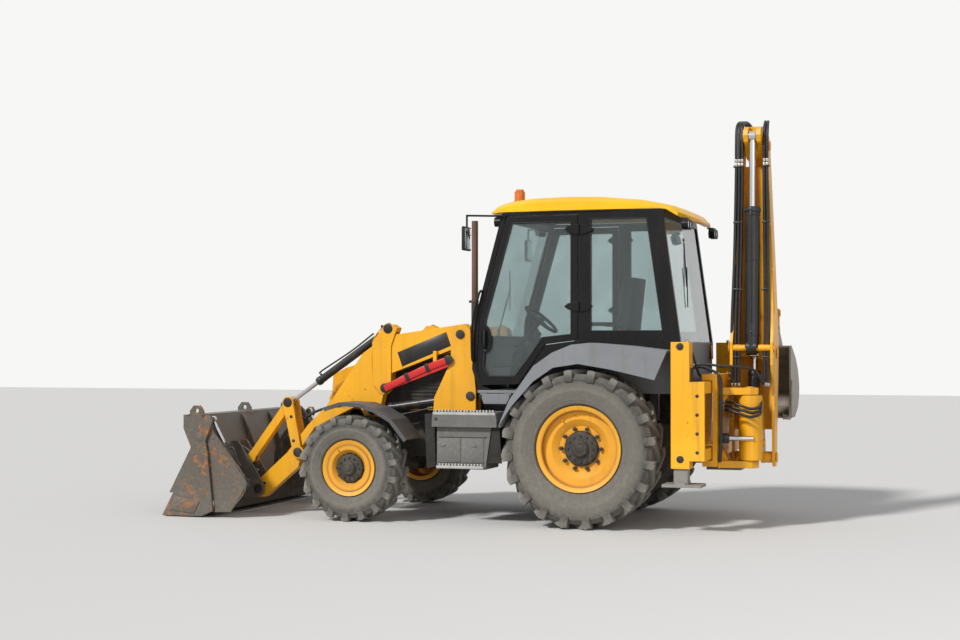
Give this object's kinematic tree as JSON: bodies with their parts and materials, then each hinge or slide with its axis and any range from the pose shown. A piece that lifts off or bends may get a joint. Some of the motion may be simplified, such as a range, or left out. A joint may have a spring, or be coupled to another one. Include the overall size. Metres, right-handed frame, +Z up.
{
  "type": "backhoe loader",
  "caption": "Backhoe loader with a hinged clam shovel on lifting arms at the front and a slewing digging arm on a sideshift frame at the rear.",
  "frame": {"origin": "middle of the whole machine's length and width, on the ground under the tyres", "axes": "+X towards the loader bucket (forward), +Y towards the machine's left, +Z up"},
  "size_m": [5.736, 2.35, 3.58],
  "materials": {
    "frame_black": "worn matt paint",
    "engine_grey": "cast",
    "yellow": "worn gloss paint",
    "yellow_plastic": "faded gloss",
    "rusty_steel": "rusty",
    "tyre": "dusty rubber",
    "black_plastic": "matt",
    "cab_black": "satin",
    "dusty_grey": "dusty satin",
    "glass": "clear",
    "seat_fabric": "woven",
    "amber": "clear amber",
    "red": "worn gloss",
    "bucket_steel": "worn, dusty",
    "ram_black": "satin",
    "chrome": "polished",
    "leg_grey": "worn, dusty"
  },
  "bodies": {
    "machine": {"chassis_frame": "frame_black", "engine_block": "engine_grey", "exhaust_stack": "rusty_steel", "front_axle": "frame_black", "rear_axle": "frame_black", "front_mudguards": "black_plastic", "cab_frame": "cab_black", "cab_floor": "dusty_grey", "cab_roof": "yellow_plastic", "cab_glass": "glass", "operator_seat": "seat_fabric", "cab_controls": "black_plastic", "side_tanks": "dusty_grey", "lamps_and_mirrors": "black_plastic", "beacon": "amber", "rear_frame": "frame_black"},
    "bonnet": {"bonnet": "yellow"},
    "door_left": {"door_left": "cab_black", "door_glass_left": "glass"},
    "door_right": {"door_right": "cab_black", "door_glass_right": "glass"},
    "knuckle_left": {"steering_knuckle_left": "frame_black"},
    "knuckle_right": {"steering_knuckle_right": "frame_black"},
    "front_wheel_left": {"front_tyre_left": "tyre", "front_rim_left": "yellow"},
    "front_wheel_right": {"front_tyre_right": "tyre", "front_rim_right": "yellow"},
    "rear_wheel_left": {"rear_tyre_left": "tyre", "rear_rim_left": "yellow"},
    "rear_wheel_right": {"rear_tyre_right": "tyre", "rear_rim_right": "yellow"},
    "loader_arms": {"loader_arms": "yellow", "safety_strut": "red"},
    "bell_cranks": {"bell_cranks": "yellow"},
    "bucket_links": {"bucket_links": "frame_black"},
    "loader_bucket": {"loader_bucket": "bucket_steel"},
    "clam_jaw": {"clam_jaw": "bucket_steel"},
    "lift_ram_barrels": {"lift_ram_barrels": "ram_black"},
    "lift_ram_rods": {"lift_ram_rods": "chrome"},
    "crowd_ram_barrels": {"crowd_ram_barrels": "ram_black"},
    "crowd_ram_rods": {"crowd_ram_rods": "chrome"},
    "clam_ram_barrels": {"clam_ram_barrels": "ram_black"},
    "clam_ram_rods": {"clam_ram_rods": "chrome"},
    "stabiliser_left": {"stabiliser_leg_left": "leg_grey"},
    "stabiliser_right": {"stabiliser_leg_right": "leg_grey"},
    "carriage": {"sideshift_carriage": "frame_black"},
    "kingpost": {"kingpost": "frame_black"},
    "boom": {"boom": "yellow"},
    "dipper": {"dipper": "yellow"},
    "digger_bucket": {"digger_bucket": "bucket_steel"},
    "boom_ram_barrel": {"boom_ram_barrel": "ram_black"},
    "boom_ram_rod": {"boom_ram_rod": "chrome"},
    "dipper_ram_barrel": {"dipper_ram_barrel": "ram_black"},
    "dipper_ram_rod": {"dipper_ram_rod": "chrome"},
    "bucket_ram_barrel": {"bucket_ram_barrel": "ram_black"},
    "bucket_ram_rod": {"bucket_ram_rod": "chrome"},
    "tipping_lever": {"tipping_lever": "yellow"},
    "tipping_link": {"tipping_link": "yellow"}
  },
  "joints": [
    {"name": "steer_left", "type": "hinge", "parent": "machine", "child": "knuckle_left", "pos_m": [1.002, 0.72, 0.485], "axis": [0, 0, 1], "range_deg": [-35, 35]},
    {"name": "front_wheel_left_spin", "type": "hinge", "parent": "knuckle_left", "child": "front_wheel_left", "pos_m": [1.002, 0.94, 0.485], "axis": [0, 1, 0], "continuous": true},
    {"name": "rear_wheel_left_spin", "type": "hinge", "parent": "machine", "child": "rear_wheel_left", "pos_m": [-1.168, 0.875, 0.7], "axis": [0, 1, 0], "continuous": true},
    {"name": "steer_right", "type": "hinge", "parent": "machine", "child": "knuckle_right", "pos_m": [1.002, -0.72, 0.485], "axis": [0, 0, 1], "range_deg": [-35, 35]},
    {"name": "front_wheel_right_spin", "type": "hinge", "parent": "knuckle_right", "child": "front_wheel_right", "pos_m": [1.002, -0.94, 0.485], "axis": [0, 1, 0], "continuous": true},
    {"name": "rear_wheel_right_spin", "type": "hinge", "parent": "machine", "child": "rear_wheel_right", "pos_m": [-1.168, -0.875, 0.7], "axis": [0, 1, 0], "continuous": true},
    {"name": "bonnet_hinge", "type": "hinge", "parent": "machine", "child": "bonnet", "pos_m": [-0.058, 0, 1.64], "axis": [0, -1, 0], "range_deg": [0, 50]},
    {"name": "door_left_hinge", "type": "hinge", "parent": "machine", "child": "door_left", "pos_m": [-1.108, 0.814, 2.3], "axis": [0, 0, 1], "range_deg": [0, 90]},
    {"name": "door_right_hinge", "type": "hinge", "parent": "machine", "child": "door_right", "pos_m": [-1.108, -0.814, 2.3], "axis": [0, 0, -1], "range_deg": [0, 90]},
    {"name": "loader_lift", "type": "hinge", "parent": "machine", "child": "loader_arms", "pos_m": [0.066, 0, 1.715], "axis": [0, -1, 0], "range_deg": [-3, 79]},
    {"name": "lift_ram_swing", "type": "hinge", "parent": "machine", "child": "lift_ram_barrels", "pos_m": [-0.033, 0, 1.145], "axis": [0, -1, 0], "range_deg": [-3.77, 65.54]},
    {"name": "lift_ram_stroke", "type": "slide", "parent": "lift_ram_barrels", "child": "lift_ram_rods", "axis": [0.9893, 0, -0.1456], "range_m": [-0.04044, 0.7011]},
    {"name": "bucket_tilt", "type": "hinge", "parent": "loader_arms", "child": "loader_bucket", "pos_m": [2.115, 0, 0.234], "axis": [0, -1, 0], "range_deg": [-100, 40]},
    {"name": "bell_crank_turn", "type": "hinge", "parent": "loader_arms", "child": "bell_cranks", "pos_m": [1.712, 0, 0.59], "axis": [0, -1, 0], "range_deg": [-67.43, 28.07]},
    {"name": "bucket_link_turn", "type": "hinge", "parent": "bell_cranks", "child": "bucket_links", "pos_m": [1.819, 0, 1.066], "axis": [0, -1, 0], "range_deg": [-21.32, 51.2]},
    {"name": "crowd_ram_swing", "type": "hinge", "parent": "loader_arms", "child": "crowd_ram_barrels", "pos_m": [0.792, 0, 1.77], "axis": [0, -1, 0], "range_deg": [-0.064, 0.154]},
    {"name": "crowd_ram_stroke", "type": "slide", "parent": "crowd_ram_barrels", "child": "crowd_ram_rods", "axis": [0.8248, 0, -0.5654], "range_m": [-0.22758, 0.54648]},
    {"name": "clam_open", "type": "hinge", "parent": "loader_bucket", "child": "clam_jaw", "pos_m": [2.477, 0, 0.749], "axis": [0, -1, 0], "range_deg": [0, 50]},
    {"name": "clam_ram_swing", "type": "hinge", "parent": "loader_bucket", "child": "clam_ram_barrels", "pos_m": [2.054, 0, 0.322], "axis": [0, -1, 0], "range_deg": [-0.07, 3.31]},
    {"name": "clam_ram_stroke", "type": "slide", "parent": "clam_ram_barrels", "child": "clam_ram_rods", "axis": [0.4807, 0, 0.8769], "range_m": [-0.16287, 0.00329]},
    {"name": "stabiliser_left_drop", "type": "slide", "parent": "machine", "child": "stabiliser_left", "axis": [0, 0, -1], "range_m": [0, 0.55]},
    {"name": "stabiliser_right_drop", "type": "slide", "parent": "machine", "child": "stabiliser_right", "axis": [0, 0, -1], "range_m": [0, 0.55]},
    {"name": "sideshift", "type": "slide", "parent": "machine", "child": "carriage", "axis": [0, -1, 0], "range_m": [0, 1.1]},
    {"name": "slew", "type": "hinge", "parent": "carriage", "child": "kingpost", "pos_m": [-2.598, 0.55, 0.9], "axis": [0, 0, -1], "range_deg": [0, 180]},
    {"name": "boom_lower", "type": "hinge", "parent": "kingpost", "child": "boom", "pos_m": [-2.598, 0.32, 0.62], "axis": [1, 0, 0], "range_deg": [0, 125]},
    {"name": "boom_ram_swing", "type": "hinge", "parent": "kingpost", "child": "boom_ram_barrel", "pos_m": [-2.598, 0.385, 0.75], "axis": [1, 0, 0], "range_deg": [-2.55, 130.25]},
    {"name": "boom_ram_stroke", "type": "slide", "parent": "boom_ram_barrel", "child": "boom_ram_rod", "axis": [0, -0.1318, 0.9913], "range_m": [-0.00553, 0.27725]},
    {"name": "dipper_open", "type": "hinge", "parent": "boom", "child": "dipper", "pos_m": [-2.598, 0.22, 3.4], "axis": [-1, 0, 0], "range_deg": [0, 115]},
    {"name": "dipper_ram_swing", "type": "hinge", "parent": "boom", "child": "dipper_ram_barrel", "pos_m": [-2.598, 0.455, 1.59], "axis": [1, 0, 0], "range_deg": [-0.07, 3.62]},
    {"name": "dipper_ram_stroke", "type": "slide", "parent": "dipper_ram_barrel", "child": "dipper_ram_rod", "axis": [0, -0.0424, 0.9991], "range_m": [-0.28986, 0.00578]},
    {"name": "digger_bucket_dump", "type": "hinge", "parent": "dipper", "child": "digger_bucket", "pos_m": [-2.598, -0.12, 1.75], "axis": [-1, 0, 0], "range_deg": [0, 100]},
    {"name": "tipping_lever_turn", "type": "hinge", "parent": "dipper", "child": "tipping_lever", "pos_m": [-2.598, -0.111, 2.085], "axis": [-1, 0, 0], "range_deg": [-1.98, 100.76]},
    {"name": "tipping_link_turn", "type": "hinge", "parent": "tipping_lever", "child": "tipping_link", "pos_m": [-2.598, -0.381, 1.913], "axis": [1, 0, 0], "range_deg": [-1.97, 100.39]},
    {"name": "bucket_ram_swing", "type": "hinge", "parent": "dipper", "child": "bucket_ram_barrel", "pos_m": [-2.598, -0.25, 3.15], "axis": [1, 0, 0], "range_deg": [-0.234, 0.005]},
    {"name": "bucket_ram_stroke", "type": "slide", "parent": "bucket_ram_barrel", "child": "bucket_ram_rod", "axis": [0, -0.1053, -0.9944], "range_m": [-0.5113, 0.01012]}
  ],
  "couplings": [
    {"joint": "steer_right", "follows": "steer_left", "ratio": 1},
    {"joint": "lift_ram_swing", "follows": "loader_lift", "ratio": 0.81279},
    {"joint": "lift_ram_stroke", "follows": "loader_lift", "m_per_rad": 0.49807},
    {"joint": "bell_crank_turn", "follows": "bucket_tilt", "ratio": 0.65595},
    {"joint": "bucket_link_turn", "follows": "bucket_tilt", "ratio": -0.49801},
    {"joint": "crowd_ram_swing", "follows": "bucket_tilt", "ratio": -0.001493},
    {"joint": "crowd_ram_stroke", "follows": "bucket_tilt", "m_per_rad": -0.30453},
    {"joint": "clam_ram_swing", "follows": "clam_open", "ratio": 0.064854},
    {"joint": "clam_ram_stroke", "follows": "clam_open", "m_per_rad": -0.18286},
    {"joint": "boom_ram_swing", "follows": "boom_lower", "ratio": 1.0216},
    {"joint": "boom_ram_stroke", "follows": "boom_lower", "m_per_rad": 0.12454},
    {"joint": "dipper_ram_swing", "follows": "dipper_open", "ratio": 0.030843},
    {"joint": "dipper_ram_stroke", "follows": "dipper_open", "m_per_rad": -0.14153},
    {"joint": "tipping_lever_turn", "follows": "digger_bucket_dump", "ratio": 0.9878},
    {"joint": "tipping_link_turn", "follows": "digger_bucket_dump", "ratio": 0.9842},
    {"joint": "bucket_ram_swing", "follows": "digger_bucket_dump", "ratio": -0.002295},
    {"joint": "bucket_ram_stroke", "follows": "digger_bucket_dump", "m_per_rad": -0.28715}
  ]
}
